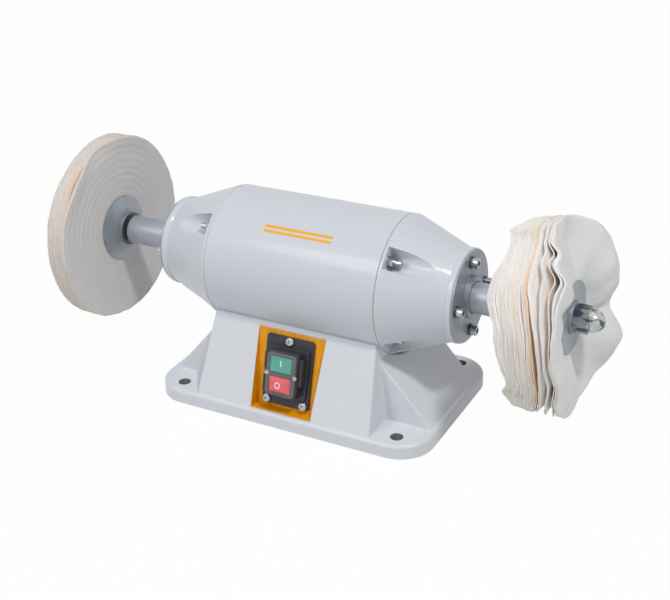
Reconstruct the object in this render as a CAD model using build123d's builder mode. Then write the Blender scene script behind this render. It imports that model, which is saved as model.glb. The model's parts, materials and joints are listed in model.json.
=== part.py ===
from build123d import *
import os
from math import atan, cos, radians, sin, sqrt

# Bench polisher: an induction motor on a cast pedestal, with a cotton buff on each end of its spindle.
# Millimetres. +X runs along the spindle towards the loose buff, -Y is the switch side and +Z is up.
# The origin lies on the underside of the base, at the centre of its four bolt holes.

os.makedirs("parts", exist_ok=True)

# Fits shared by all pieces
fit_gap = 0.05          # between pieces that sit in one another without moving
slide_gap = 0.3         # round a piece that slides

# Motor tube
axis_height = 140.0
shell_radius = 70.0
shell_length = 190.0
shell_wall = 6.0
seam_bevel = 0.5        # on the edges that meet where the tube ends

# Base plate of the pedestal
base_length = 310.0
base_depth = 195.0
base_thickness = 15.0
base_corner = 36.0
rim_round = 4.0
bolt_spacing_x = 248.0
bolt_spacing_y = 160.0
bolt_hole_radius = 6.5

# Pedestal
casting_wall = 7.0
panel_ledge = 4.5       # from the rim to the foot of the front and back panels
panel_width_low = 200.0
panel_width_high = 184.0
panel_lip = 3.0         # land left between a panel's top edge and the tube
saddle_drop = 43.0      # from the spindle down to the top of the panels
saddle_length = 199.0
saddle_wall = 8.0
slope_ledge = 5.5       # from the rim to the foot of the end slopes
slope_width = 110.0
slope_rise = 2.2        # top of the end slopes above the lowest line of the tube
pedestal_round = 2.5
corner_round = 4.0
bell_clearance = 2.0

# Bottom cover
cover_recess = 4.0
cover_thickness = 2.0
cover_land = 4.0
cover_boss_radius = 6.0
cover_boss_height = 24.0
cover_boss_inset = 8.0
cover_screw_radius = 2.5
cover_screw_length = 14.0
cover_screw_head_radius = 5.0
cover_screw_head_height = 2.5

# Saddle bolts
saddle_bolt_radius = 4.0
saddle_bolt_spacing = 110.0
saddle_bolt_angle = 24.0
saddle_bolt_head_flats = 13.0
saddle_bolt_head_height = 5.5

# Switch recess in the front panel
recess_width_low = 69.0
recess_width_high = 77.0
recess_top_gap = 4.0    # from the recess to the top of the panel
recess_depth = 6.5      # at the middle of the switch, measured level
recess_wall = 5.0
switch_height = 52.7
switch_tilt = 15.3

# Switch
plate_width = 54.0
plate_height = 72.0
plate_thickness = 3.0
plate_corner = 3.0
plate_bevel = 0.5
plate_screw_radius = 2.5
plate_screw_half_spacing = 21.0
plate_screw_rise = 31.5
plate_screw_head_radius = 4.6
plate_screw_head_height = 3.0
plate_screw_length = 12.0
plate_screw_round = 1.5
plate_screw_socket = 1.8
housing_flange_width = 47.0
housing_flange_height = 52.0
housing_flange_thickness = 3.0
housing_width = 36.0
housing_height = 47.0
housing_rise = 10.0     # from the flange to the frame
housing_corner = 4.0
housing_round = 0.8
housing_bevel = 0.6     # on the edge of its flange
lug_width = 3.5         # two lugs on the left side of the housing and a long one on the right
lug_height = 16.0
lug_spacing = 24.0
long_lug_height = 28.0
long_lug_rise = 5.0
lug_drop = 2.0          # from the housing's front to the lugs
frame_width = 33.0
frame_height = 44.0
frame_thickness = 2.5
frame_round = 1.0
button_width = 24.0
button_height = 16.0
button_spacing = 21.0
button_travel = 3.0
button_skirt = 1.2      # how far the skirt reaches past the button on each side
button_skirt_thickness = 2.0
button_stem_radius = 2.6
start_rise = 0.5        # above the frame
stop_rise = 4.5
stop_bevel = 3.5
switch_body_depth = 30.0
switch_body_rise = 3.5  # into the housing, from the plate's front
spring_wire_radius = 0.5
spring_radius = 4.2
spring_turns = 4
switch_screw_half_spacing = 16.0
switch_screw_head_radius = 2.3
switch_screw_head_height = 2.0
switch_screw_radius = 1.2
switch_screw_length = 9.0

# End bells
bell_length = 68.4
bell_neck_radius = 46.4  # where the cone meets the collar at its narrow end
bell_collar_radius = 47.4
bell_collar_length = 6.4
bell_collar_ramp = 1.5
bell_collar_round = 1.2
bell_shoulder = 3.0
bell_shoulder_round = 4.0
bell_wall = 6.0
bell_end_wall = 14.0
bell_spigot = 6.0
bell_spigot_wall = 5.0
hub_radius = 31.0
hub_length = 20.0

# Tie rods
rod_radius = 3.0
rod_circle_radius = 59.0       # of the circle that the four rods stand on
rod_count = 4
rod_start_angle = 45.0
rod_seat = 3.5          # wall under each nut
rod_end = 8.0           # bare end past each nut
rod_hole_gap = 0.3
rod_bevel = 0.8
nut_flats = 10.0
nut_thickness = 5.0
rod_washer_radius = 6.0
rod_washer_thickness = 1.2
pocket_radius = 11.5
pocket_circle_radius = 63.0    # of the circle that the scoops are centred on
pocket_wall = 4.0

# Bearings
bearing_bore = 20.0
bearing_diameter = 47.0
bearing_width = 14.0
ball_radius = 3.9
ball_count = 8
ball_play = 0.2
ring_thickness = 3.3
cage_width = 11.0
cage_thickness = 2.2
preload_space = 1.4
preload_thickness = 0.6
preload_width = 3.2

# Bearing covers
cover_radius = 46.5
cover_plate_thickness = 2.0
cover_bevel = 0.5
collar_radius = 21.0
collar_length = 5.0
collar_gap = 0.7
cover_bolt_circle_radius = 36.0
cover_bolt_count = 4
cap_screw_radius = 3.0
cap_screw_length = 12.0
cap_screw_head_radius = 5.0
cap_screw_head_height = 6.0
cap_screw_bevel = 0.5
cap_screw_socket = 2.9
cap_screw_socket_depth = 3.0
spring_washer_radius = 5.9
spring_washer_thickness = 1.8
spring_washer_split = 1.0

# Stator and rotor
core_length = 90.0
core_bore_radius = 38.0
air_gap = 0.4
winding_length = 24.0
winding_inner_radius = 41.0
winding_outer_radius = 54.0
winding_round = 5.0
end_ring_inner_radius = 24.0
end_ring_outer_radius = 35.0
end_ring_length = 12.0
rotor_seat_radius = 12.5

# Spindle stack, outward from the bearings
arbor_radius = 8.0
arbor_shoulder = 232.0  # where the spacer sleeve ends
sleeve_radius = 15.3
sleeve_bevel = 0.6
neck_radius = 11.0
neck_length = 4.0
flange_radius = 34.8
flange_hub_radius = 18.0
flange_hub_length = 3.0
flange_step_radius = 22.0
flange_step_length = 2.0
flange_cone_length = 5.5
flange_rim = 2.5
flange_bevel = 1.0
outer_flange_hub_radius = 16.0
outer_flange_hub_rise = 1.2
cap_nut_flats = 24.0
cap_nut_hex = 15.0
cap_nut_height = 28.4
cap_nut_dome_radius = 11.2
cap_nut_chamfer = 1.8
arbor_in_nut = 21.0
arbor_bevel = 1.0

# Buffs
sewn_radius = 100.0
sewn_thickness = 21.0
sewn_edge = 3.0
loose_thickness = 17.5  # where the flanges clamp it
loose_reach = 60.0      # of a rumpled ply, from the flanges to its rim
loose_lean_inner = 30.0  # of the rim next to the motor, towards it
loose_sway_inner = 7.0
loose_sway_inner_angle = 113.0  # angles round the rim start at the front and go up
loose_wave_inner = 3.8
loose_wave_inner_count = 3
loose_wave_inner_angle = 44.0
loose_lean_outer = 6.6  # of the outside rim, away from the motor
loose_sway_outer = 10.1
loose_sway_outer_angle = 244.0
loose_wave_outer = 11.0
loose_wave_outer_count = 2
loose_wave_outer_angle = 13.0
loose_half_way_inner = 0.45     # share of its lean that a ply has half way out
loose_half_way_outer = 0.75
loose_lofts = 3         # arcs that the fanned disc is lofted in
loose_sections = 8      # steps in each arc

# Capacitor in the hollow of the pedestal
capacitor_radius = 18.0
capacitor_length = 70.0
capacitor_x = -45.0
capacitor_y = 28.0
capacitor_edge = 2.0
clamp_thickness = 1.2
clamp_width = 14.0
clamp_foot = 11.0
clamp_screw_radius = 2.0
clamp_screw_head_radius = 3.6
clamp_screw_head_height = 2.2
clamp_screw_length = 5.0

# Cable gland on the back panel
gland_x = 60.0
gland_height = 42.0
gland_flats = 22.0
gland_flange = 5.0
gland_thread_radius = 8.0
gland_stem = 8.0        # thread past the wall, for the locknut
gland_nut_radius = 9.6
gland_nut_length = 8.0
gland_dome = 7.0
gland_mouth_radius = 6.4
gland_bore_radius = 4.2
locknut_thickness = 4.0

# Places worked out from the sizes
seam = shell_length / 2
shell_bore = shell_radius - shell_wall
pedestal_top = axis_height - saddle_drop
panel_foot = base_depth / 2 - panel_ledge
panel_head = sqrt(shell_radius**2 - saddle_drop**2) + panel_lip
panel_lean = (panel_foot - panel_head) / (pedestal_top - base_thickness)
slope_foot = base_length / 2 - slope_ledge
slope_top = axis_height - shell_radius + slope_rise
slope_lean = (slope_foot - saddle_length / 2) / (slope_top - base_thickness)
slope_head = slope_foot - slope_lean * (pedestal_top - base_thickness)
side_lean = (panel_width_low - panel_width_high) / 2 / (pedestal_top - base_thickness)
cover_top = cover_recess + cover_thickness

bell_end = seam + bell_length
bell_cone_end = bell_end - bell_collar_length
bell_taper = (shell_radius - bell_neck_radius) / (bell_cone_end - seam - bell_shoulder)
rod_nut_seat = seam + rod_seat
bearing_inner_face = bell_end - bearing_width
bearing_middle = bell_end - bearing_width / 2
bearing_outer_radius = bearing_diameter / 2
bearing_bore_radius = bearing_bore / 2
pitch_radius = (bearing_outer_radius + bearing_bore_radius) / 2
cover_face = bell_end + cover_plate_thickness
neck_end = arbor_shoulder + neck_length
buff_face = (neck_end + flange_hub_length + flange_step_length + flange_cone_length + flange_rim)
outer_flange_thickness = flange_rim + outer_flange_hub_rise

frame_foot = plate_thickness + housing_flange_thickness + housing_rise
frame_top = frame_foot + frame_thickness
cavity_width = button_width + 2 * button_skirt + 2 * slide_gap
cavity_height = button_spacing + button_height + 2 * button_skirt + 2 * slide_gap
switch_body_top = plate_thickness + switch_body_rise

spindle_axis = Axis((0, 0, axis_height), (1, 0, 0))
sides = {"left": -1, "right": 1}
buff_thickness = {"left": sewn_thickness, "right": loose_thickness}


def panel_at(height):
    """Distance of the leaning front and back panels from the middle, at a height."""
    return panel_foot - panel_lean * (height - base_thickness)


def side_at(height):
    """Distance of the leaning side walls between the panels from the middle, at a height."""
    return panel_width_low / 2 - side_lean * (height - base_thickness)


def section_plane(side):
    """Half section through the spindle: x runs outward on that side and y is the radius."""
    return Plane(origin=(0, 0, axis_height), x_dir=(side, 0, 0), z_dir=(0, -side, 0))


def end_plane(side, distance):
    """Plane square to the spindle, facing outward, at a distance from the middle of the motor."""
    return Plane(origin=(side * distance, 0, axis_height), x_dir=(0, side, 0), z_dir=(side, 0, 0))


switch_lean = radians(switch_tilt)
switch_plane = Plane(
    origin=(0, recess_depth - panel_at(switch_height), switch_height),
    x_dir=(1, 0, 0),
    z_dir=(0, -cos(switch_lean), sin(switch_lean)),
)
back_lean = atan(panel_lean)
back_panel_thickness = casting_wall * cos(back_lean)
gland_plane = Plane(
    origin=(gland_x, panel_at(gland_height), gland_height),
    x_dir=(1, 0, 0),
    z_dir=(0, cos(back_lean), sin(back_lean)),
)


def save(name, piece):
    """Label a finished piece and write it under its name."""
    piece.part.label = name
    export_step(piece.part, f"parts/{name}.step")


def half_section(side, points):
    """Half section of a turned piece, given as (outward, radius) points."""
    with BuildSketch(section_plane(side)) as section:
        with BuildLine():
            Polyline(*points, close=True)
        make_face()
    return section.sketch


def ring_section(side, start, end, inner, outer):
    """Half section of a plain ring or sleeve."""
    return half_section(side, [(start, inner), (end, inner), (end, outer), (start, outer)])


def leaning_block(low_x, low_y, high_x, high_y):
    """Four-sided block with rounded edges that narrows from the base plate up to the top of the panels."""
    with BuildPart() as block:
        with BuildSketch(Plane.XY.offset(base_thickness)):
            RectangleRounded(2 * low_x, 2 * low_y, pedestal_round)
        with BuildSketch(Plane.XY.offset(pedestal_top)):
            RectangleRounded(2 * high_x, 2 * high_y, pedestal_round)
        loft(ruled=True)
    return block.part


def panel_block(inset):
    """The part of the pedestal between the front and back panels."""
    return leaning_block(
        panel_width_low / 2 - inset, panel_foot - inset, panel_width_high / 2 - inset, panel_head - inset
    )


def slope_block(inset):
    """The part of the pedestal that carries the two end slopes."""
    return leaning_block(
        slope_foot - inset, slope_width / 2 - inset, slope_head - inset, slope_width / 2 - inset
    )


def cross_prism(inset, low, high):
    """Upright prism on the pedestal's cross-shaped foot."""
    with BuildPart() as prism:
        with BuildSketch(Plane.XY.offset(low)):
            RectangleRounded(panel_width_low - 2 * inset, 2 * (panel_foot - inset), pedestal_round)
            RectangleRounded(2 * (slope_foot - inset), slope_width - 2 * inset, pedestal_round)
        extrude(amount=high - low)
    return prism.part


def motor_space(extra):
    """Space that the motor takes out of the pedestal, wider under the end bells."""
    reach = base_length / 2
    bell_radius = shell_radius + bell_clearance + extra
    tube_radius = shell_radius + fit_gap + extra
    with BuildPart() as space:
        for side in sides.values():
            section = half_section(side, [
                (0, 0),
                (0, tube_radius),
                (seam, tube_radius),
                (seam, bell_radius),
                (reach, bell_radius),
                (reach, 0),
            ])
            revolve(section, axis=spindle_axis)
    return space.part


def recess_space(extra):
    """Space in front of the leaning floor of the switch recess; extra adds the wall behind it."""
    low = base_thickness - extra
    high = pedestal_top - recess_top_gap
    half_low = recess_width_low / 2 + extra
    half_high = recess_width_high / 2 + extra
    with BuildPart() as space:
        with BuildSketch(Plane.XZ):
            with BuildLine():
                Polyline((-half_low, low), (half_low, low), (half_high, high), (-half_high, high), close=True)
            make_face()
        extrude(amount=base_depth)
        split(bisect_by=switch_plane.offset(-extra), keep=Keep.TOP)
    return space.part


# Pedestal casting: a cross of two leaning blocks on a plate, hollowed from below
panels = panel_block(0)
slopes = slope_block(0)
panels_inside = panel_block(casting_wall)
slopes_inside = slope_block(casting_wall)
foot_inside = cross_prism(casting_wall, 0, base_thickness)
cover_rebate = cross_prism(casting_wall - cover_land, 0, cover_top)
motor = motor_space(0)
saddle_backing = motor_space(saddle_wall)
switch_recess = recess_space(0)
recess_backing = recess_space(recess_wall)

boss_x = panel_width_low / 2 - casting_wall - cover_boss_inset
boss_y = panel_foot - casting_wall - cover_boss_inset
boss_places = [(x, y) for x in (-boss_x, boss_x) for y in (-boss_y, boss_y)]

with BuildPart() as hollow:
    add(panels_inside)
    add(slopes_inside)
    add(foot_inside)
    add(saddle_backing, mode=Mode.SUBTRACT)
    add(recess_backing, mode=Mode.SUBTRACT)
    with BuildSketch(Plane.XY.offset(cover_top)):
        with Locations(*boss_places):
            Circle(cover_boss_radius)
    extrude(amount=cover_boss_height, mode=Mode.SUBTRACT)

saddle_bolt_planes = []
for along in (-saddle_bolt_spacing / 2, saddle_bolt_spacing / 2):
    for angle in (-saddle_bolt_angle, saddle_bolt_angle):
        outward = (0, sin(radians(angle)), -cos(radians(angle)))
        saddle_bolt_planes.append(Plane(origin=(along, 0, axis_height), x_dir=(1, 0, 0), z_dir=outward))

with BuildPart() as base_casting:
    with BuildSketch():
        RectangleRounded(base_length, base_depth, base_corner)
    extrude(amount=base_thickness)
    fillet(base_casting.edges().group_by(Axis.Z)[-1], rim_round)
    add(panels)
    add(slopes)
    inner_corners = [
        edge
        for edge in base_casting.edges()
        if abs(abs(edge.center().Y) - slope_width / 2) < pedestal_round
        and abs(abs(edge.center().X) - side_at(edge.center().Z)) < pedestal_round
        and edge.bounding_box().size.Z > base_thickness
    ]
    fillet(inner_corners, corner_round)
    add(motor, mode=Mode.SUBTRACT)
    add(switch_recess, mode=Mode.SUBTRACT)
    add(hollow.part, mode=Mode.SUBTRACT)
    add(cover_rebate, mode=Mode.SUBTRACT)
    with BuildSketch():
        with GridLocations(bolt_spacing_x, bolt_spacing_y, 2, 2):
            Circle(bolt_hole_radius)
    extrude(amount=base_thickness, mode=Mode.SUBTRACT)
    with BuildSketch(Plane.XY.offset(cover_top)):
        with Locations(*boss_places):
            Circle(cover_screw_radius + fit_gap)
    extrude(amount=cover_screw_length, mode=Mode.SUBTRACT)
    for bolt_plane in saddle_bolt_planes:
        with BuildSketch(bolt_plane.offset(shell_bore)):
            Circle(saddle_bolt_radius + slide_gap)
        extrude(amount=shell_wall + 2 * saddle_wall, mode=Mode.SUBTRACT)
    with BuildSketch(switch_plane):
        Rectangle(cavity_width + 2 * slide_gap, cavity_height + 2 * slide_gap)
        plate_screw_places = [
            (0, plate_screw_rise),
            (-plate_screw_half_spacing, -plate_screw_rise),
            (plate_screw_half_spacing, -plate_screw_rise),
        ]
        with Locations(*plate_screw_places):
            Circle(plate_screw_radius + fit_gap)
    extrude(amount=-2 * recess_wall, mode=Mode.SUBTRACT)
    with BuildSketch(gland_plane):
        Circle(gland_thread_radius + slide_gap)
    extrude(amount=2 * casting_wall, both=True, mode=Mode.SUBTRACT)
save("base_casting", base_casting)

# Bottom cover and its screws
cover_outline = cross_prism(casting_wall - cover_land + slide_gap, cover_recess, cover_top)
with BuildPart() as bottom_cover:
    add(cover_outline)
    with BuildSketch(Plane.XY.offset(cover_recess)):
        with Locations(*boss_places):
            Circle(cover_screw_radius + slide_gap)
    extrude(amount=cover_thickness, mode=Mode.SUBTRACT)
    with BuildSketch(Plane.XY.offset(cover_recess)):
        clamp_screw_offset = capacitor_radius + 2 * clamp_thickness + clamp_foot / 2
        clamp_screw_places = [
            (capacitor_x, capacitor_y - clamp_screw_offset),
            (capacitor_x, capacitor_y + clamp_screw_offset),
        ]
        with Locations(*clamp_screw_places):
            Circle(clamp_screw_radius + fit_gap)
    extrude(amount=cover_thickness, mode=Mode.SUBTRACT)
save("bottom_cover", bottom_cover)

with BuildPart() as bottom_cover_screws:
    with BuildSketch(Plane.XY.offset(cover_recess)):
        with Locations(*boss_places):
            Circle(cover_screw_radius)
    extrude(amount=cover_screw_length)
    with BuildSketch(Plane.XY.offset(cover_recess)):
        with Locations(*boss_places):
            Circle(cover_screw_head_radius)
    extrude(amount=-cover_screw_head_height)
save("bottom_cover_screws", bottom_cover_screws)

# Motor tube, with threaded holes for the saddle bolts
with BuildPart() as stator_shell:
    revolve(ring_section(1, -seam, seam, shell_bore, shell_radius), axis=spindle_axis)
    chamfer(stator_shell.edges().filter_by(GeomType.CIRCLE).sort_by(SortBy.RADIUS)[-2:], seam_bevel)
    for bolt_plane in saddle_bolt_planes:
        with BuildSketch(bolt_plane.offset(shell_bore - fit_gap)):
            Circle(saddle_bolt_radius + fit_gap)
        extrude(amount=2 * shell_wall, mode=Mode.SUBTRACT)
save("stator_shell", stator_shell)

with BuildPart() as saddle_bolts:
    for bolt_plane in saddle_bolt_planes:
        head_seat = shell_radius + saddle_wall + fit_gap
        with BuildSketch(bolt_plane.offset(head_seat)):
            RegularPolygon(saddle_bolt_head_flats / 2, 6, major_radius=False)
        extrude(amount=saddle_bolt_head_height)
        with BuildSketch(bolt_plane.offset(head_seat)):
            Circle(saddle_bolt_radius)
        extrude(amount=-(saddle_wall + shell_wall / 2))
save("saddle_bolts", saddle_bolts)


def pocket_space(side, wall):
    """Four scoops, one round each tie rod's end, open to the outside of the bell."""
    reach = bell_length
    with BuildPart() as space:
        with BuildSketch(end_plane(side, rod_nut_seat - wall)):
            with PolarLocations(pocket_circle_radius + reach / 2, rod_count, start_angle=rod_start_angle):
                SlotCenterToCenter(reach, 2 * (pocket_radius + wall))
        extrude(amount=reach)
    return space.part


def bell_hollow(side, scoops):
    """Inside of an end bell: a cone round the bearing hub, kept clear of the scoops."""
    inner_end = bell_end - bell_end_wall
    mouth = seam - bell_spigot
    cone_end = shell_radius - bell_taper * (inner_end - seam - bell_shoulder) - bell_wall
    with BuildPart() as space:
        with BuildSketch(section_plane(side)):
            with BuildLine():
                Polyline(
                    (mouth, 0),
                    (mouth, shell_bore - bell_spigot_wall),
                    (seam, shell_bore - bell_spigot_wall),
                    (inner_end, cone_end),
                    (inner_end, hub_radius),
                    (bell_end - hub_length, hub_radius),
                    (bell_end - hub_length, 0),
                    close=True,
                )
            make_face()
        revolve(axis=spindle_axis)
        add(scoops, mode=Mode.SUBTRACT)
    return space.part


def end_bell(side):
    """Tapered end casting with a spigot for the tube, a bearing seat and four scooped pockets."""
    seat_depth = bearing_width + (preload_space if side > 0 else 0)
    scoops = pocket_space(side, 0)
    scoop_walls = pocket_space(side, pocket_wall)
    inside = bell_hollow(side, scoop_walls)
    with BuildPart() as bell:
        with BuildSketch(section_plane(side)):
            with BuildLine():
                Polyline(
                    (seam - bell_spigot, 0),
                    (seam - bell_spigot, shell_bore - fit_gap),
                    (seam, shell_bore - fit_gap),
                    (seam, shell_radius - seam_bevel),
                    (seam + seam_bevel, shell_radius),
                    (seam + bell_shoulder, shell_radius),
                    (bell_cone_end, bell_neck_radius),
                    (bell_cone_end + bell_collar_ramp, bell_collar_radius),
                    (bell_end, bell_collar_radius),
                    (bell_end, 0),
                    close=True,
                )
            make_face()
            fillet(vertices().sort_by_distance((seam + bell_shoulder, shell_radius))[0], bell_shoulder_round)
            fillet(vertices().sort_by_distance((bell_end, bell_collar_radius))[0], bell_collar_round)
        revolve(axis=spindle_axis)
        add(inside, mode=Mode.SUBTRACT)
        add(scoops, mode=Mode.SUBTRACT)
        with BuildSketch(end_plane(side, bell_end)):
            Circle(bearing_outer_radius + fit_gap)
        extrude(amount=-seat_depth, mode=Mode.SUBTRACT)
        with BuildSketch(end_plane(side, bell_end)):
            Circle(bearing_outer_radius - ring_thickness)
        extrude(amount=-hub_length, mode=Mode.SUBTRACT)
        with BuildSketch(end_plane(side, rod_nut_seat)):
            with PolarLocations(rod_circle_radius, rod_count, start_angle=rod_start_angle):
                Circle(rod_radius + rod_hole_gap)
        extrude(amount=-(rod_seat + bell_spigot), mode=Mode.SUBTRACT)
        with BuildSketch(end_plane(side, bell_end)):
            with PolarLocations(cover_bolt_circle_radius, cover_bolt_count):
                Circle(cap_screw_radius + fit_gap)
        extrude(amount=-cap_screw_length, mode=Mode.SUBTRACT)
    return bell


for name, side in sides.items():
    save(f"{name}_end_bell", end_bell(side))

# Tie rods with a washer and a nut at each end
washer_end = rod_nut_seat + rod_washer_thickness
nut_end = washer_end + nut_thickness
rod_half_length = nut_end + rod_end

with BuildPart() as tie_rods:
    with BuildSketch(end_plane(1, 0)):
        with PolarLocations(rod_circle_radius, rod_count, start_angle=rod_start_angle):
            Circle(rod_radius)
    extrude(amount=rod_half_length, both=True)
    chamfer(tie_rods.edges().filter_by(GeomType.CIRCLE), rod_bevel)
save("tie_rods", tie_rods)

with BuildPart() as tie_rod_washers:
    for side in sides.values():
        with BuildSketch(end_plane(side, rod_nut_seat)):
            with PolarLocations(rod_circle_radius, rod_count, start_angle=rod_start_angle):
                Circle(rod_washer_radius)
                Circle(rod_radius + fit_gap, mode=Mode.SUBTRACT)
        extrude(amount=rod_washer_thickness)
save("tie_rod_washers", tie_rod_washers)

with BuildPart() as tie_rod_nuts:
    for side in sides.values():
        with BuildSketch(end_plane(side, washer_end)):
            with PolarLocations(rod_circle_radius, rod_count, start_angle=rod_start_angle):
                RegularPolygon(nut_flats / 2, 6, major_radius=False)
                Circle(rod_radius + fit_gap, mode=Mode.SUBTRACT)
        extrude(amount=nut_thickness)
save("tie_rod_nuts", tie_rod_nuts)

# Stator, fixed in the tube
with BuildPart() as stator_core:
    core_section = ring_section(1, -core_length / 2, core_length / 2, core_bore_radius, shell_bore - fit_gap)
    revolve(core_section, axis=spindle_axis)
    with BuildSketch(end_plane(1, 0)):
        with PolarLocations(rod_circle_radius, rod_count, start_angle=rod_start_angle):
            Circle(rod_radius + rod_hole_gap)
    extrude(amount=core_length / 2, both=True, mode=Mode.SUBTRACT)
save("stator_core", stator_core)

with BuildPart() as stator_windings:
    for side in sides.values():
        winding_end = core_length / 2 + winding_length
        winding = ring_section(side, core_length / 2, winding_end, winding_inner_radius, winding_outer_radius)
        revolve(winding, axis=spindle_axis)
    outer_ends = stator_windings.edges().group_by(Axis.X)
    fillet(outer_ends[0] + outer_ends[-1], winding_round)
save("stator_windings", stator_windings)

# Shaft and rotor
shaft_ends = {
    name: buff_face + buff_thickness[name] + outer_flange_thickness + arbor_in_nut for name in sides
}
with BuildPart() as shaft:
    with BuildSketch(section_plane(1)):
        with BuildLine():
            Polyline(
                (-shaft_ends["left"], 0),
                (-shaft_ends["left"], arbor_radius),
                (-arbor_shoulder, arbor_radius),
                (-arbor_shoulder, bearing_bore_radius),
                (-bearing_inner_face, bearing_bore_radius),
                (-bearing_inner_face, rotor_seat_radius),
                (bearing_inner_face, rotor_seat_radius),
                (bearing_inner_face, bearing_bore_radius),
                (arbor_shoulder, bearing_bore_radius),
                (arbor_shoulder, arbor_radius),
                (shaft_ends["right"], arbor_radius),
                (shaft_ends["right"], 0),
                close=True,
            )
        make_face()
    revolve(axis=spindle_axis)
    end_edges = shaft.edges().group_by(Axis.X)
    chamfer(end_edges[0] + end_edges[-1], arbor_bevel)
save("shaft", shaft)

with BuildPart() as rotor_core:
    rotor_radius = core_bore_radius - air_gap
    rotor_bore = rotor_seat_radius + fit_gap
    rotor_section = ring_section(1, -core_length / 2, core_length / 2, rotor_bore, rotor_radius)
    revolve(rotor_section, axis=spindle_axis)
save("rotor_core", rotor_core)

with BuildPart() as rotor_end_rings:
    for side in sides.values():
        ring_end = core_length / 2 + end_ring_length
        end_ring = ring_section(side, core_length / 2, ring_end, end_ring_inner_radius, end_ring_outer_radius)
        revolve(end_ring, axis=spindle_axis)
save("rotor_end_rings", rotor_end_rings)


def grooved_ring(side, inner, outer):
    """Bearing ring with a round groove for the balls."""
    with BuildPart() as ring:
        revolve(ring_section(side, bearing_inner_face, bell_end, inner, outer), axis=spindle_axis)
        with BuildSketch(section_plane(side)):
            with Locations((bearing_middle, pitch_radius)):
                Circle(ball_radius + ball_play)
        revolve(axis=spindle_axis, mode=Mode.SUBTRACT)
    return ring


def ball_cage(side):
    """Ring between the bearing's two races, with a round pocket for each ball."""
    start = bearing_middle - cage_width / 2
    inner = pitch_radius - cage_thickness / 2
    with BuildPart() as cage:
        section = ring_section(side, start, start + cage_width, inner, inner + cage_thickness)
        revolve(section, axis=spindle_axis)
        with Locations(end_plane(side, bearing_middle)):
            with PolarLocations(pitch_radius, ball_count):
                Cylinder(ball_radius + ball_play, 2 * cage_thickness, rotation=(0, 90, 0), mode=Mode.SUBTRACT)
    return cage


def balls(side):
    """Ring of bearing balls."""
    with BuildPart() as set_of_balls:
        with Locations(end_plane(side, bearing_middle)):
            with PolarLocations(pitch_radius, ball_count):
                Sphere(ball_radius)
    return set_of_balls


def bearing_cover(side):
    """Round plate over the bearing, with a collar round the spacer sleeve and four screw holes."""
    bore = sleeve_radius + collar_gap
    with BuildPart() as cover:
        section = half_section(side, [
            (bell_end, bore),
            (bell_end, cover_radius),
            (cover_face, cover_radius),
            (cover_face, collar_radius),
            (cover_face + collar_length, collar_radius),
            (cover_face + collar_length, bore),
        ])
        revolve(section, axis=spindle_axis)
        rim = cover.edges().filter_by(GeomType.CIRCLE).sort_by(SortBy.RADIUS)[-2:]
        chamfer(rim, cover_bevel)
        with BuildSketch(end_plane(side, bell_end)):
            with PolarLocations(cover_bolt_circle_radius, cover_bolt_count):
                Circle(cap_screw_radius + slide_gap)
        extrude(amount=cover_plate_thickness, mode=Mode.SUBTRACT)
    return cover


def inner_flange(side):
    """Conical clamping flange with a stepped hub and a narrow neck against the sleeve."""
    hub_end = neck_end + flange_hub_length
    step_end = hub_end + flange_step_length
    cone_end = step_end + flange_cone_length
    with BuildPart() as flange:
        section = half_section(side, [
            (arbor_shoulder, arbor_radius + fit_gap),
            (arbor_shoulder, neck_radius),
            (neck_end, neck_radius),
            (neck_end, flange_hub_radius),
            (hub_end, flange_hub_radius),
            (hub_end, flange_step_radius),
            (step_end, flange_step_radius),
            (cone_end, flange_radius),
            (buff_face, flange_radius),
            (buff_face, arbor_radius + fit_gap),
        ])
        revolve(section, axis=spindle_axis)
    return flange


def outer_flange(side, seat):
    """Dished clamping washer under the cap nut."""
    hub_face = seat + outer_flange_thickness
    dish_face = seat + flange_rim
    dish_floor = dish_face - flange_bevel
    with BuildPart() as flange:
        section = half_section(side, [
            (seat, arbor_radius + fit_gap),
            (seat, flange_radius),
            (dish_face - flange_bevel, flange_radius),
            (dish_face, flange_radius - flange_bevel),
            (dish_face, flange_radius - 2 * flange_bevel),
            (dish_floor, outer_flange_hub_radius + flange_bevel),
            (dish_floor, outer_flange_hub_radius),
            (hub_face, outer_flange_hub_radius),
            (hub_face, arbor_radius + fit_gap),
        ])
        revolve(section, axis=spindle_axis)
    return flange


def spacer_sleeve(side):
    """Plain sleeve between the bearing and the inner flange."""
    bore = bearing_bore_radius + fit_gap
    with BuildPart() as sleeve:
        revolve(ring_section(side, bell_end, arbor_shoulder, bore, sleeve_radius), axis=spindle_axis)
        chamfer(sleeve.edges().filter_by(GeomType.CIRCLE).sort_by(SortBy.RADIUS)[-2:], sleeve_bevel)
    return sleeve


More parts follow.
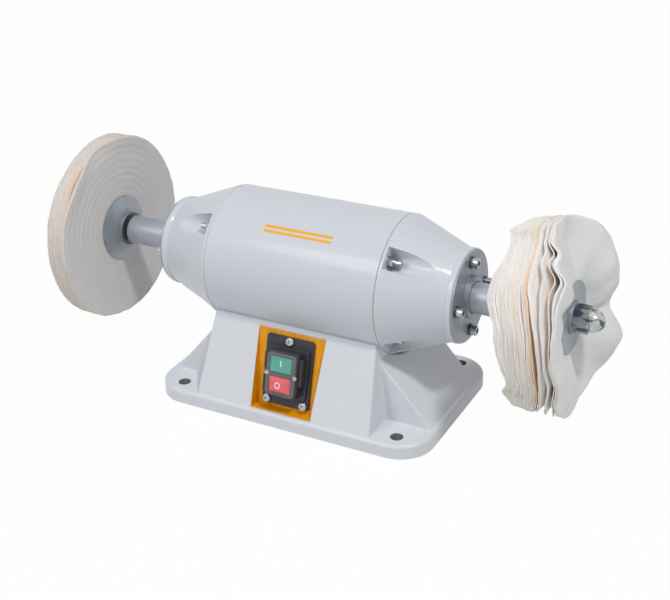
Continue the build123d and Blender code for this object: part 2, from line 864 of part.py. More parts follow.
def cap_nut(side, seat):
    """Domed hexagon nut with bevelled corners and a blind bore."""
    hex_end = seat + cap_nut_hex
    corner = cap_nut_flats / sqrt(3)
    with BuildPart() as nut:
        with BuildSketch(end_plane(side, seat)):
            RegularPolygon(cap_nut_flats / 2, 6, major_radius=False)
        extrude(amount=cap_nut_hex)
        with BuildSketch(section_plane(side)):
            with BuildLine():
                Polyline(
                    (seat, 0),
                    (seat, corner - cap_nut_chamfer),
                    (seat + cap_nut_chamfer / 2, corner),
                    (hex_end - cap_nut_chamfer / 2, corner),
                    (hex_end, corner - cap_nut_chamfer),
                    (hex_end, 0),
                    close=True,
                )
            make_face()
        revolve(axis=spindle_axis, mode=Mode.INTERSECT)
        with BuildSketch(section_plane(side)):
            with BuildLine():
                tip = seat + cap_nut_height
                Line((hex_end, 0), (hex_end, cap_nut_dome_radius))
                EllipticalCenterArc(
                    (hex_end, 0), tip - hex_end, cap_nut_dome_radius, start_angle=0, arc_size=90
                )
                Line((tip, 0), (hex_end, 0))
            make_face()
        revolve(axis=spindle_axis)
        with BuildSketch(end_plane(side, seat)):
            Circle(arbor_radius + fit_gap)
        extrude(amount=arbor_in_nut + fit_gap, mode=Mode.SUBTRACT)
    return nut


# Both ends of the spindle, from the bearings outward
for name, side in sides.items():
    race_outer = bearing_outer_radius - ring_thickness
    race_inner = bearing_bore_radius + ring_thickness
    flange_seat = buff_face + buff_thickness[name]
    save(f"{name}_bearing_outer_ring", grooved_ring(side, race_outer, bearing_outer_radius))
    save(f"{name}_bearing_inner_ring", grooved_ring(side, bearing_bore_radius + fit_gap, race_inner))
    save(f"{name}_bearing_cage", ball_cage(side))
    save(f"{name}_bearing_balls", balls(side))
    save(f"{name}_bearing_cover", bearing_cover(side))
    save(f"{name}_spacer_sleeve", spacer_sleeve(side))
    save(f"{name}_inner_flange", inner_flange(side))
    save(f"{name}_outer_flange", outer_flange(side, flange_seat))
    save(f"{name}_cap_nut", cap_nut(side, flange_seat + outer_flange_thickness))

# Conical spring washer that loads the right bearing
with BuildPart() as preload_washer:
    preload_section = half_section(1, [
        (bearing_inner_face - preload_space, bearing_outer_radius - fit_gap),
        (bearing_inner_face - preload_space + preload_thickness, bearing_outer_radius - fit_gap),
        (bearing_inner_face, bearing_outer_radius - preload_width),
        (bearing_inner_face - preload_thickness, bearing_outer_radius - preload_width),
    ])
    revolve(preload_section, axis=spindle_axis)
save("preload_washer", preload_washer)

# Socket-head screws and split spring washers on both bearing covers
washer_face = cover_face + spring_washer_thickness
with BuildPart() as cover_washers:
    for side in sides.values():
        with BuildSketch(end_plane(side, cover_face)):
            with PolarLocations(cover_bolt_circle_radius, cover_bolt_count):
                Circle(spring_washer_radius)
                Circle(cap_screw_radius + fit_gap, mode=Mode.SUBTRACT)
                with Locations((spring_washer_radius, 0)):
                    Rectangle(2 * cap_screw_radius, spring_washer_split, mode=Mode.SUBTRACT)
        extrude(amount=spring_washer_thickness)
save("cover_washers", cover_washers)

with BuildPart() as cover_screws:
    for side in sides.values():
        with BuildSketch(end_plane(side, washer_face)):
            with PolarLocations(cover_bolt_circle_radius, cover_bolt_count):
                Circle(cap_screw_head_radius)
        extrude(amount=cap_screw_head_height)
        chamfer(cover_screws.edges().group_by(Axis.X)[-1 if side > 0 else 0], cap_screw_bevel)
        with BuildSketch(end_plane(side, washer_face)):
            with PolarLocations(cover_bolt_circle_radius, cover_bolt_count):
                Circle(cap_screw_radius)
        extrude(amount=-cap_screw_length)
        with BuildSketch(end_plane(side, washer_face + cap_screw_head_height)):
            with PolarLocations(cover_bolt_circle_radius, cover_bolt_count):
                RegularPolygon(cap_screw_socket, 6)
        extrude(amount=-cap_screw_socket_depth, mode=Mode.SUBTRACT)
save("cover_screws", cover_screws)

# Buffs: a stitched disc on the left and a loose disc, fanned out at its rim, on the right
with BuildPart() as sewn_buff:
    sewn_end = buff_face + sewn_thickness
    sewn_section = ring_section(-1, buff_face, sewn_end, arbor_radius + fit_gap, sewn_radius)
    revolve(sewn_section, axis=spindle_axis)
    rim_edges = sewn_buff.edges().filter_by(GeomType.CIRCLE).sort_by(SortBy.RADIUS)[-2:]
    fillet(rim_edges, sewn_edge)
save("sewn_buff", sewn_buff)

clamped_end = buff_face + loose_thickness
clamped_middle = buff_face + loose_thickness / 2


def rim_lean(angle, mean, sway, sway_angle, wave, count, wave_angle):
    """Lean of a loose rim at an angle: a mean, one slow sway and a number of smaller waves."""
    return mean + sway * cos(radians(angle - sway_angle)) + wave * cos(count * radians(angle - wave_angle))


def loose_section(angle):
    """Half section of the loose buff at an angle: flat between the flanges, then fanned out to its rim."""
    inner_lean = rim_lean(
        angle,
        loose_lean_inner,
        loose_sway_inner,
        loose_sway_inner_angle,
        loose_wave_inner,
        loose_wave_inner_count,
        loose_wave_inner_angle,
    )
    outer_lean = rim_lean(
        angle,
        loose_lean_outer,
        loose_sway_outer,
        loose_sway_outer_angle,
        loose_wave_outer,
        loose_wave_outer_count,
        loose_wave_outer_angle,
    )
    inner_reach = sqrt(loose_reach**2 - inner_lean**2)
    outer_reach = sqrt(loose_reach**2 - outer_lean**2)
    crown = clamped_middle + (outer_lean - inner_lean) / 2
    crown_reach = sqrt(loose_reach**2 - (crown - clamped_middle)**2)
    outward = (0, -cos(radians(angle)), sin(radians(angle)))
    across = (0, sin(radians(angle)), cos(radians(angle)))
    with BuildSketch(Plane(origin=(0, 0, axis_height), x_dir=outward, z_dir=across)) as section:
        with BuildLine():
            Polyline(
                (arbor_radius / 2, buff_face),
                (flange_radius, buff_face),
                (flange_radius + inner_reach / 2, buff_face - loose_half_way_inner * inner_lean),
                (flange_radius + inner_reach, buff_face - inner_lean),
                (flange_radius + crown_reach, crown),
                (flange_radius + outer_reach, clamped_end + outer_lean),
                (flange_radius + outer_reach / 2, clamped_end + loose_half_way_outer * outer_lean),
                (flange_radius, clamped_end),
                (arbor_radius / 2, clamped_end),
                close=True,
            )
        make_face()
    return section.sketch.face()


with BuildPart() as loose_buff:
    turn = 360 / loose_lofts
    for first in range(loose_lofts):
        loft([loose_section(turn * (first + step / loose_sections)) for step in range(loose_sections + 1)])
    with BuildSketch(end_plane(1, buff_face)):
        Circle(arbor_radius + fit_gap)
    extrude(amount=loose_thickness, mode=Mode.SUBTRACT)
save("loose_buff", loose_buff)

# Switch, built outward on the leaning floor of the recess
switch_axis = Axis(switch_plane.origin, switch_plane.z_dir)
button_places = {"start": button_spacing / 2, "stop": -button_spacing / 2}
skirt_top = frame_foot
skirt_foot = skirt_top - button_skirt_thickness
stem_space = skirt_foot - switch_body_top
stem_depth = 2 * button_travel

with BuildPart() as switch_plate:
    with BuildSketch(switch_plane):
        RectangleRounded(plate_width, plate_height, plate_corner)
    extrude(amount=plate_thickness)
    chamfer(switch_plate.edges().group_by(switch_axis)[-1], plate_bevel)
    with BuildSketch(switch_plane):
        Rectangle(cavity_width, cavity_height)
        with Locations(*plate_screw_places):
            Circle(plate_screw_radius + slide_gap)
    extrude(amount=plate_thickness, mode=Mode.SUBTRACT)
save("switch_plate", switch_plate)

with BuildPart() as switch_plate_screws:
    with BuildSketch(switch_plane.offset(plate_thickness)):
        with Locations(*plate_screw_places):
            Circle(plate_screw_head_radius)
    extrude(amount=plate_screw_head_height)
    fillet(switch_plate_screws.edges().group_by(switch_axis)[-1], plate_screw_round)
    with BuildSketch(switch_plane.offset(plate_thickness)):
        with Locations(*plate_screw_places):
            Circle(plate_screw_radius)
    extrude(amount=-plate_screw_length)
    with BuildSketch(switch_plane.offset(plate_thickness + plate_screw_head_height)):
        with Locations(*plate_screw_places):
            RegularPolygon(plate_screw_socket, 6)
    extrude(amount=-plate_screw_head_height / 2, mode=Mode.SUBTRACT)
save("switch_plate_screws", switch_plate_screws)

screw_ears = [(-switch_screw_half_spacing, 0), (switch_screw_half_spacing, 0)]
with BuildPart() as switch_housing:
    with BuildSketch(switch_plane.offset(plate_thickness)):
        RectangleRounded(housing_flange_width, housing_flange_height, plate_corner)
    extrude(amount=housing_flange_thickness)
    chamfer(switch_housing.edges().group_by(switch_axis)[-1], housing_bevel)
    with BuildSketch(switch_plane.offset(plate_thickness + housing_flange_thickness)):
        RectangleRounded(housing_width, housing_height, housing_corner)
    extrude(amount=housing_rise)
    fillet(switch_housing.edges().group_by(switch_axis)[-1], housing_round)
    with BuildSketch(switch_plane.offset(plate_thickness + housing_flange_thickness)):
        with Locations((-housing_width / 2, lug_spacing / 2), (-housing_width / 2, -lug_spacing / 2)):
            Rectangle(2 * lug_width, lug_height)
        with Locations((housing_width / 2, long_lug_rise)):
            Rectangle(2 * lug_width, long_lug_height)
    extrude(amount=housing_rise - lug_drop)
    with BuildSketch(switch_plane.offset(plate_thickness)):
        Rectangle(cavity_width, cavity_height)
    extrude(amount=housing_flange_thickness + housing_rise, mode=Mode.SUBTRACT)
    with BuildSketch(switch_plane.offset(plate_thickness)):
        with Locations(*plate_screw_places):
            Circle(plate_screw_head_radius + slide_gap)
    extrude(amount=housing_flange_thickness, mode=Mode.SUBTRACT)
    with BuildSketch(switch_plane.offset(frame_foot)):
        with Locations(*screw_ears):
            Circle(switch_screw_radius + fit_gap)
    extrude(amount=-switch_screw_length, mode=Mode.SUBTRACT)
save("switch_housing", switch_housing)

with BuildPart() as switch_frame:
    with BuildSketch(switch_plane.offset(frame_foot)):
        RectangleRounded(frame_width, frame_height, housing_corner)
    extrude(amount=frame_thickness)
    fillet(switch_frame.edges().group_by(switch_axis)[-1], frame_round)
    with BuildSketch(switch_plane.offset(frame_foot)):
        with Locations(*[(0, rise) for rise in button_places.values()]):
            Rectangle(button_width + 2 * slide_gap, button_height + 2 * slide_gap)
        with Locations(*screw_ears):
            Circle(switch_screw_head_radius + slide_gap)
    extrude(amount=frame_thickness, mode=Mode.SUBTRACT)
save("switch_frame", switch_frame)

with BuildPart() as switch_screws:
    with BuildSketch(switch_plane.offset(frame_foot)):
        with Locations(*screw_ears):
            Circle(switch_screw_head_radius)
    extrude(amount=switch_screw_head_height)
    with BuildSketch(switch_plane.offset(frame_foot)):
        with Locations(*screw_ears):
            Circle(switch_screw_radius)
    extrude(amount=-switch_screw_length)
save("switch_screws", switch_screws)

with BuildPart() as switch_body:
    with BuildSketch(switch_plane.offset(switch_body_top)):
        Rectangle(cavity_width - 2 * slide_gap, cavity_height - 2 * slide_gap)
    extrude(amount=-(switch_body_top + switch_body_depth))
    with BuildSketch(switch_plane.offset(switch_body_top)):
        with Locations(*[(0, rise) for rise in button_places.values()]):
            Circle(button_stem_radius + slide_gap)
    extrude(amount=-(stem_depth + button_travel), mode=Mode.SUBTRACT)
save("switch_body", switch_body)


def button(rise, top, bevel):
    """Push button with a skirt behind the frame and a guide stem; bevel slopes its four sides."""
    with BuildPart() as piece:
        with BuildSketch(switch_plane.offset(skirt_foot)):
            with Locations((0, rise)):
                Rectangle(button_width + 2 * button_skirt, button_height + 2 * button_skirt)
        extrude(amount=button_skirt_thickness)
        with BuildSketch(switch_plane.offset(skirt_top)):
            with Locations((0, rise)):
                Rectangle(button_width, button_height)
        extrude(amount=frame_thickness)
        with BuildSketch(switch_plane.offset(frame_top)):
            with Locations((0, rise)):
                Rectangle(button_width, button_height)
        with BuildSketch(switch_plane.offset(frame_top + top)):
            with Locations((0, rise)):
                Rectangle(button_width - 2 * bevel, button_height - 2 * bevel)
        loft(ruled=True)
        with BuildSketch(switch_plane.offset(skirt_foot)):
            with Locations((0, rise)):
                Circle(button_stem_radius)
        extrude(amount=-(stem_space + stem_depth))
    return piece


def return_spring(rise):
    """Coil spring round a button's stem, between the contact block and the skirt."""
    coil_height = stem_space - 2 * spring_wire_radius - 2 * fit_gap
    start = switch_plane.from_local_coords((0, rise, switch_body_top + spring_wire_radius + fit_gap))
    with BuildPart() as spring:
        with BuildLine() as coil:
            Helix(
                pitch=coil_height / spring_turns,
                height=coil_height,
                radius=spring_radius,
                center=start,
                direction=switch_plane.z_dir,
            )
        with BuildSketch(coil.line ^ 0):
            Circle(spring_wire_radius)
        sweep()
    return spring


save("start_button", button(button_places["start"], start_rise, start_rise))
save("stop_button", button(button_places["stop"], stop_rise, stop_bevel))
for name, rise in button_places.items():
    save(f"{name}_spring", return_spring(rise))

# Run capacitor, strapped to the bottom cover
capacitor_height = cover_top + capacitor_radius
with BuildPart() as capacitor:
    with BuildSketch(Plane.YZ.offset(capacitor_x - capacitor_length / 2)):
        with Locations((capacitor_y, capacitor_height)):
            Circle(capacitor_radius)
    extrude(amount=capacitor_length)
    fillet(capacitor.edges().filter_by(GeomType.CIRCLE), capacitor_edge)
save("capacitor", capacitor)

with BuildPart() as capacitor_clamp:
    clamp_inner = capacitor_radius + slide_gap
    clamp_outer = clamp_inner + clamp_thickness
    with BuildSketch(Plane.YZ.offset(capacitor_x - clamp_width / 2)):
        with Locations((capacitor_y, capacitor_height)):
            Circle(clamp_outer)
        with Locations((capacitor_y, (cover_top + capacitor_height) / 2)):
            Rectangle(2 * clamp_outer, capacitor_height - cover_top)
        with Locations((capacitor_y, cover_top + clamp_thickness / 2)):
            Rectangle(2 * (clamp_outer + clamp_foot), clamp_thickness)
        with Locations((capacitor_y, capacitor_height)):
            Circle(clamp_inner, mode=Mode.SUBTRACT)
        with Locations((capacitor_y, (cover_top + capacitor_height) / 2)):
            Rectangle(2 * clamp_inner, capacitor_height - cover_top, mode=Mode.SUBTRACT)
        with Locations((capacitor_y, cover_top - clamp_outer / 2)):
            Rectangle(4 * clamp_outer, clamp_outer, mode=Mode.SUBTRACT)
    extrude(amount=clamp_width)
    with BuildSketch(Plane.XY.offset(cover_top)):
        with Locations(*clamp_screw_places):
            Circle(clamp_screw_radius + fit_gap)
    extrude(amount=clamp_thickness, mode=Mode.SUBTRACT)
save("capacitor_clamp", capacitor_clamp)

with BuildPart() as clamp_screws:
    clamp_face = cover_top + clamp_thickness
    with BuildSketch(Plane.XY.offset(clamp_face)):
        with Locations(*clamp_screw_places):
            Circle(clamp_screw_head_radius)
    extrude(amount=clamp_screw_head_height)
    with BuildSketch(Plane.XY.offset(clamp_face)):
        with Locations(*clamp_screw_places):
            Circle(clamp_screw_radius)
    extrude(amount=-clamp_screw_length)
save("clamp_screws", clamp_screws)

# Cable gland on the back panel, with its locknut inside
with BuildPart() as cable_gland:
    with BuildSketch(gland_plane):
        RegularPolygon(gland_flats / 2, 6, major_radius=False)
    extrude(amount=gland_flange)
    with BuildSketch(gland_plane.offset(gland_flange)):
        Circle(gland_nut_radius)
    extrude(amount=gland_nut_length)
    with BuildSketch(gland_plane.offset(gland_flange + gland_nut_length)):
        Circle(gland_nut_radius)
    with BuildSketch(gland_plane.offset(gland_flange + gland_nut_length + gland_dome)):
        Circle(gland_mouth_radius)
    loft()
    with BuildSketch(gland_plane):
        Circle(gland_thread_radius)
    extrude(amount=-(back_panel_thickness + gland_stem))
    with BuildSketch(gland_plane.offset(gland_flange + gland_nut_length + gland_dome)):
        Circle(gland_bore_radius)
    extrude(amount=-2 * base_depth, mode=Mode.SUBTRACT)
save("cable_gland", cable_gland)

with BuildPart() as gland_locknut:
    with BuildSketch(gland_plane.offset(-back_panel_thickness)):
        RegularPolygon(gland_flats / 2, 6, major_radius=False)
        Circle(gland_thread_radius + fit_gap, mode=Mode.SUBTRACT)
    extrude(amount=-locknut_thickness)
save("gland_locknut", gland_locknut)
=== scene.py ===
import bmesh
import bpy
import json
from functools import lru_cache
from math import atan2, cos, degrees, exp, hypot, pi, radians, sin, tau
from mathutils import Matrix, Vector, noise


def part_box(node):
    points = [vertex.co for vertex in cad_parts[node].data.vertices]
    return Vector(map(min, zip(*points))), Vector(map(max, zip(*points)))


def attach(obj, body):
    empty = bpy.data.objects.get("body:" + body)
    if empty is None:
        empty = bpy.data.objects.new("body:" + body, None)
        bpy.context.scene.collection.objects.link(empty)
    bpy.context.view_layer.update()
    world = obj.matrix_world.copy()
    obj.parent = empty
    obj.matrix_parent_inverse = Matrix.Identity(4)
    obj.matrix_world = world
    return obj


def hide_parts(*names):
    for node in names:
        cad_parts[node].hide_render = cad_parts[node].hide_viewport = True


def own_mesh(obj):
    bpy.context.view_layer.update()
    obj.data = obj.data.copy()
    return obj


# Bench polisher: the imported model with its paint, metals and plastics, and two buffs made as cotton cloth.
# Metres. +X runs along the spindle towards the loose buff, -Y is the switch side and +Z is up.

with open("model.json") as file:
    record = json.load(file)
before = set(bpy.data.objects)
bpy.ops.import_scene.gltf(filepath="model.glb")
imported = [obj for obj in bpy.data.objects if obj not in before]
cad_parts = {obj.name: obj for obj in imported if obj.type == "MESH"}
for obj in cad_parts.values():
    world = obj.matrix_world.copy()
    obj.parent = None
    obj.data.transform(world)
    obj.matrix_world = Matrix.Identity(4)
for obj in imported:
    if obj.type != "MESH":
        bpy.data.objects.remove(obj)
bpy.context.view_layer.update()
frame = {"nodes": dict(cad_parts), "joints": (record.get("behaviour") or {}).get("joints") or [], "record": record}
nodes = frame["nodes"]
mm = 0.001


def span(node, axis):
    """Lowest and highest place of a node along one axis."""
    low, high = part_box(node)
    return low[axis], high[axis]


def joint(name):
    """The frame's row for a joint."""
    return next(row for row in frame["joints"] if row["name"] == name)


def mount(name):
    """The record's row for a mount."""
    return next(row for row in frame["record"]["mounts"] if row["name"] == name)


# Places read from the frame
spindle = Vector(joint("spindle_spin")["pos_m"])
spindle.x = 0
button_out = -Vector(joint("start_press")["axis"]).normalized()
button_right = Vector((1, 0, 0))
button_up = button_out.cross(button_right)
cable_entry = mount("cable_entry")   # in the back panel, which the front panel mirrors
panel_spot = Vector((0, -cable_entry["pos_m"][1], cable_entry["pos_m"][2]))
panel_out = Vector((0, -cable_entry["axis"][1], cable_entry["axis"][2]))
bolts = mount("base_bolts")["dims"]
clamp_radius = span("right_outer_flange", 1)[1]   # where the flanges let go of the cotton


class Value:
    """A shader socket that takes part in sums: an expression on it adds its Math nodes."""

    def __init__(self, finish, socket):
        self.finish = finish
        self.socket = socket

    def maths(self, operation, *others):
        return self.finish.add("Math", {"operation": operation}, [self, *others])

    def __add__(self, other):
        return self.maths("ADD", other)

    def __sub__(self, other):
        return self.maths("SUBTRACT", other)

    def __rsub__(self, other):
        return self.finish.add("Math", {"operation": "SUBTRACT"}, [other, self])

    def __mul__(self, other):
        return self.maths("MULTIPLY", other)

    def __truediv__(self, other):
        return self.maths("DIVIDE", other)

    __radd__ = __add__
    __rmul__ = __mul__

    def __abs__(self):
        return self.maths("ABSOLUTE")

    def wave(self, pitch):
        """Sine wave from -1 to 1 with this pitch."""
        return (self * (tau / pitch)).maths("SINE")

    def rise(self, low, high):
        """0 up to low and 1 from high on, with a soft step between."""
        limits = {"From Min": low, "From Max": high}
        return self.finish.add("MapRange", {"interpolation_type": "SMOOTHSTEP"}, {"Value": self, **limits})

    def within(self, low, high, soft):
        """1 between two limits, with soft ends inside them."""
        return self.rise(low, low + soft) * (1 - self.rise(high - soft, high))


class Finish:
    """A material on one Principled shader, with its patterns in millimetres on the object's own place."""

    def __init__(self, name):
        self.material = bpy.data.materials.new(name)
        self.material.use_nodes = True
        self.tree = self.material.node_tree
        self.shader = self.tree.nodes["Principled BSDF"]

    def add(self, kind, settings=None, inputs=None, output=0):
        """Adds a node of a type with its settings, then the values or links of its sockets."""
        node = self.tree.nodes.new("ShaderNode" + kind)
        for name, value in (settings or {}).items():
            setattr(node, name, value)
        named = inputs.items() if isinstance(inputs, dict) else enumerate(inputs or [])
        for name, value in named:
            self.feed(node.inputs[name], value)
        return Value(self, node.outputs[output])

    def feed(self, socket, value):
        if isinstance(value, Value):
            self.tree.links.new(value.socket, socket)
        elif isinstance(value, tuple) and len(value) == 3 and socket.type == "RGBA":
            socket.default_value = (*value, 1)
        else:
            socket.default_value = value

    def place(self, origin=(0, 0, 0), turn=(0, 0, 0), stretch=(1, 1, 1)):
        """Object coordinates in millimetres, about a point, turned and stretched."""
        spot = self.add("TexCoord", output="Object")
        moved = self.add("VectorMath", {"operation": "SUBTRACT"}, [spot, tuple(origin)])
        size = tuple(1000 * factor for factor in stretch)
        return self.add("Mapping", None, {"Vector": moved, "Rotation": turn, "Scale": size})

    def cut(self):
        """Place on the cloth as it was cut, in millimetres."""
        spot = self.add("UVMap", {"uv_map": "cut"})
        return self.add("Mapping", None, {"Vector": spot, "Scale": (1000, 1000, 1000)})

    def attribute(self, name):
        return self.add("Attribute", {"attribute_name": name}, output="Fac")

    def axes(self, spot):
        split = self.add("SeparateXYZ", None, [spot])
        outputs = split.socket.node.outputs
        return [Value(self, outputs[name]) for name in "XYZ"]

    def noise(self, spot, size, detail=2.0, rough=0.5):
        """Cloudy noise from 0 to 1 with patches of about this size in millimetres."""
        values = {"Vector": spot, "Scale": 1 / size, "Detail": detail, "Roughness": rough}
        return self.add("TexNoise", None, values, "Fac")

    def mix(self, share, first, second):
        """Colour that goes from the first to the second."""
        node = self.tree.nodes.new("ShaderNodeMix")
        node.data_type = "RGBA"
        self.feed(node.inputs["Factor"], share)
        for socket, colour in zip([s for s in node.inputs if s.type == "RGBA"], (first, second)):
            self.feed(socket, colour)
        return Value(self, next(s for s in node.outputs if s.type == "RGBA"))

    def bump(self, height, depth, strength=1.0, under=None):
        """Relief from a height of 0 to 1, depth in millimetres."""
        values = {"Strength": strength, "Distance": depth * mm, "Height": height}
        if under is not None:
            values["Normal"] = under
        return self.add("Bump", None, values, "Normal")

    def surface(self, **sockets):
        """Sets the shader's sockets by name, with underscores for spaces."""
        for name, value in sockets.items():
            self.feed(self.shader.inputs[name.replace("_", " ")], value)
        return self.material


def shade(red, green, blue):
    """Colour as a screen shows it, 0 to 255, made linear for the shader."""
    parts = [part / 255 for part in (red, green, blue)]
    return tuple(part / 12.92 if part < 0.04045 else ((part + 0.055) / 1.055) ** 2.4 for part in parts)


# Paint, metals and plastics

# Places of the painted marks, in millimetres, and for the stripes' bands in degrees from the front upwards
stripe_bands, stripe_ends = ((47, 49.4), (51.2, 53.8)), (-36, 40)
seam_band = (94.4, 95.5)   # to both sides of the tube's middle
recess_face, recess_floor = (0.3, 0.7), (26, 27)   # behind the front panel
recess_side, recess_back, recess_height = (40, 41), (-31, -30), (14.6, 96.5)
# the satin steel paints these necks almost black, as painted shade
neck_band = (231.8, 236.2)   # of the necks beside the flanges, to both sides of the spindle's middle


def tube_marks(paint, spot, colour):
    """Two plain amber stripes on the tube, and a darker line along the seams between it and the bells, stronger on
    the +X side.
    """
    x, y, z = paint.axes(spot)
    lift = degrees(1) * (z - 1000 * spindle.z).maths("ARCTAN2", -1 * y)
    lower, upper = (lift.within(*band, 0.1) for band in stripe_bands)
    colour = paint.mix((lower + upper) * x.within(*stripe_ends, 0.2), colour, shade(246, 178, 20))
    # a darker line along each seam, stronger on the +X side
    seam_darkening = 0.55 * x.within(*seam_band, 0.2) + 0.2 * (-1 * x).within(*seam_band, 0.2)
    return paint.mix(seam_darkening, colour, shade(110, 114, 120))


def pedestal_marks(paint, spot, colour):
    """Amber brushed by hand in the recess behind the front panel, and a darker grey in the bolt holes."""
    x, y, z = paint.axes(spot)
    ragged = paint.noise(spot, 4, 3, 0.6)
    behind = paint.add("VectorMath", {"operation": "DOT_PRODUCT"}, [spot, tuple(-panel_out)], "Value")
    behind = behind + 1000 * panel_spot.dot(panel_out) + 0.6 * (ragged - 0.5)
    recess = behind.rise(*recess_face) * (1 - behind.rise(*recess_floor)) * (1 - abs(x).rise(*recess_side))
    recess = recess * (1 - y.rise(*recess_back)) * z.within(*recess_height, 0.2)
    brushed = paint.noise(paint.place(stretch=(1, 0.15, 0.15)), 4, 4, 0.6)
    amber = paint.mix(brushed.rise(0.2, 0.7), shade(222, 143, 0), shade(243, 167, 2))
    colour = paint.mix(recess, colour, amber)
    # a darker grey inside the bolt holes
    along, across = abs(x) - bolts["spacing_x_mm"] / 2, abs(y) - bolts["spacing_y_mm"] / 2
    from_hole = (along * along + across * across).maths("SQRT")
    hole_darkening = 1 - from_hole.rise(bolts["hole_r_mm"], bolts["hole_r_mm"] + 0.2)
    return paint.mix(hole_darkening, colour, shade(146, 144, 142))


def enamel(name, low, high, peel_depth, marks):
    """Light grey enamel with an orange's peel, deeper on the rough casting, and a piece's own marks."""
    paint = Finish(name)
    spot = paint.place()
    cloud = paint.noise(spot, 60, 3)
    peel = paint.noise(spot, 2.6, 2, 0.4)
    speck = paint.noise(spot, 0.9, 1)
    return paint.surface(
        Base_Color=marks(paint, spot, paint.mix(cloud, low, high)),
        Roughness=0.42 + 0.08 * cloud,
        Normal=paint.bump(peel, peel_depth, 0.35),
        Coat_Weight=0.25 * speck.rise(0.2, 0.5),
        Coat_Roughness=0.12,
        Specular_IOR_Level=0.3,
    )


def satin_steel(name, low, high):
    """Turned steel with fine rings round the spindle, with black painted shade in the necks beside the flanges."""
    steel = Finish(name)
    spot = steel.place(spindle)
    x = steel.axes(spot)[0]
    rings = steel.noise(steel.place(spindle, stretch=(1, 0.02, 0.02)), 0.5, 3, 0.6)
    cloud = steel.noise(spot, 9, 3)
    colour = steel.mix(cloud, low, high)
    # painted shade: the necks beside the flanges are coloured almost black where shade falls
    neck_shade = abs(x).within(*neck_band, 0.3)
    colour = steel.mix(neck_shade, colour, shade(66, 58, 54))
    return steel.surface(
        Base_Color=colour, Metallic=0.5, Roughness=0.38 + 0.12 * rings, Normal=steel.bump(rings, 0.02, 0.5)
    )


def bright_zinc():
    """Zinc plate with faint bluish patches."""
    zinc = Finish("bright_zinc")
    spot = zinc.place()
    cloud = zinc.noise(spot, 3.5, 3)
    colour = zinc.mix(cloud, shade(150, 158, 168), shade(194, 195, 193))
    grain = zinc.noise(spot, 0.5, 2)
    return zinc.surface(
        Base_Color=colour, Metallic=1.0, Roughness=0.20 + 0.15 * cloud, Normal=zinc.bump(grain, 0.02, 0.4)
    )


def blued_steel():
    """Tempered spring steel, dark blue."""
    steel = Finish("blued_steel")
    cloud = steel.noise(steel.place(), 2, 3)
    colour = steel.mix(cloud, shade(70, 78, 96), shade(104, 112, 130))
    return steel.surface(Base_Color=colour, Metallic=0.8, Roughness=0.3 + 0.1 * cloud)


def polished_nut():
    """Polished plate on the domed nuts, with darker bluish clouds: tarnish, and painted reflections of dark
    surroundings.
    """
    plate = Finish("polished_nut")
    cloud = plate.noise(plate.place(), 5, 3)
    tarnish_and_dark_reflection = plate.noise(plate.place(stretch=(0.5, 1, 1)), 7, 2)
    colour = plate.mix(cloud, shade(146, 152, 156), shade(206, 207, 203))
    # painted reflection: the dark bluish clouds stand in for reflected dark surroundings as well as tarnish
    colour = plate.mix(tarnish_and_dark_reflection.rise(0.48, 0.58), colour, shade(88, 99, 112))
    return plate.surface(Base_Color=colour, Metallic=1.0, Roughness=0.12 + 0.12 * cloud)


def stacked_sheet():
    """Varnished electrical sheet, stacked along the spindle."""
    sheet = Finish("stacked_sheet")
    x = sheet.axes(sheet.place())[0]
    plies = 0.5 + 0.5 * x.wave(0.6)
    colour = sheet.mix(plies, shade(86, 84, 86), shade(132, 130, 132))
    return sheet.surface(
        Base_Color=colour, Metallic=0.9, Roughness=0.4 + 0.15 * plies, Normal=sheet.bump(plies, 0.1)
    )


def cast_aluminium():
    """Cast metal with a dull, cloudy skin."""
    metal = Finish("cast_aluminium")
    cloud = metal.noise(metal.place(), 2.5, 4)
    colour = metal.mix(cloud, shade(190, 192, 194), shade(220, 221, 222))
    return metal.surface(
        Base_Color=colour, Metallic=1.0, Roughness=0.4 + 0.2 * cloud, Normal=metal.bump(cloud, 0.1, 0.6)
    )


def wound_copper():
    """Varnished wire wound round the stator's ends."""
    wire = Finish("wound_copper")
    x, y, z = wire.axes(wire.place(spindle))
    angle = y.maths("ARCTAN2", z)
    turns = 0.5 + 0.5 * (angle * 60 + x * 2.2).maths("SINE")
    colour = wire.mix(turns, shade(120, 60, 28), shade(196, 112, 62))
    return wire.surface(
        Base_Color=colour, Metallic=0.8, Roughness=0.3 + 0.2 * turns, Normal=wire.bump(turns, 0.5)
    )


def moulded_plastic(name, low, high, rough, coat=0.0):
    """Moulded plastic with a fine spark-eroded grain."""
    plastic = Finish(name)
    spot = plastic.place()
    cloud = plastic.noise(spot, 14, 3)
    grain = plastic.noise(spot, 0.45, 2)
    return plastic.surface(
        Base_Color=plastic.mix(cloud, low, high),
        Roughness=rough + 0.12 * grain,
        Normal=plastic.bump(grain, 0.03, 0.5),
        Coat_Weight=coat,
        Coat_Roughness=0.15,
    )


# Cloth in millimetres: its threads, and the rows of stitches on the sewn buff, from the spindle outwards
thread_pitch = 0.9
first_row, row_pitch, stitch = 42.5, 7.7, 4.5
sewn_band = (38, 99)


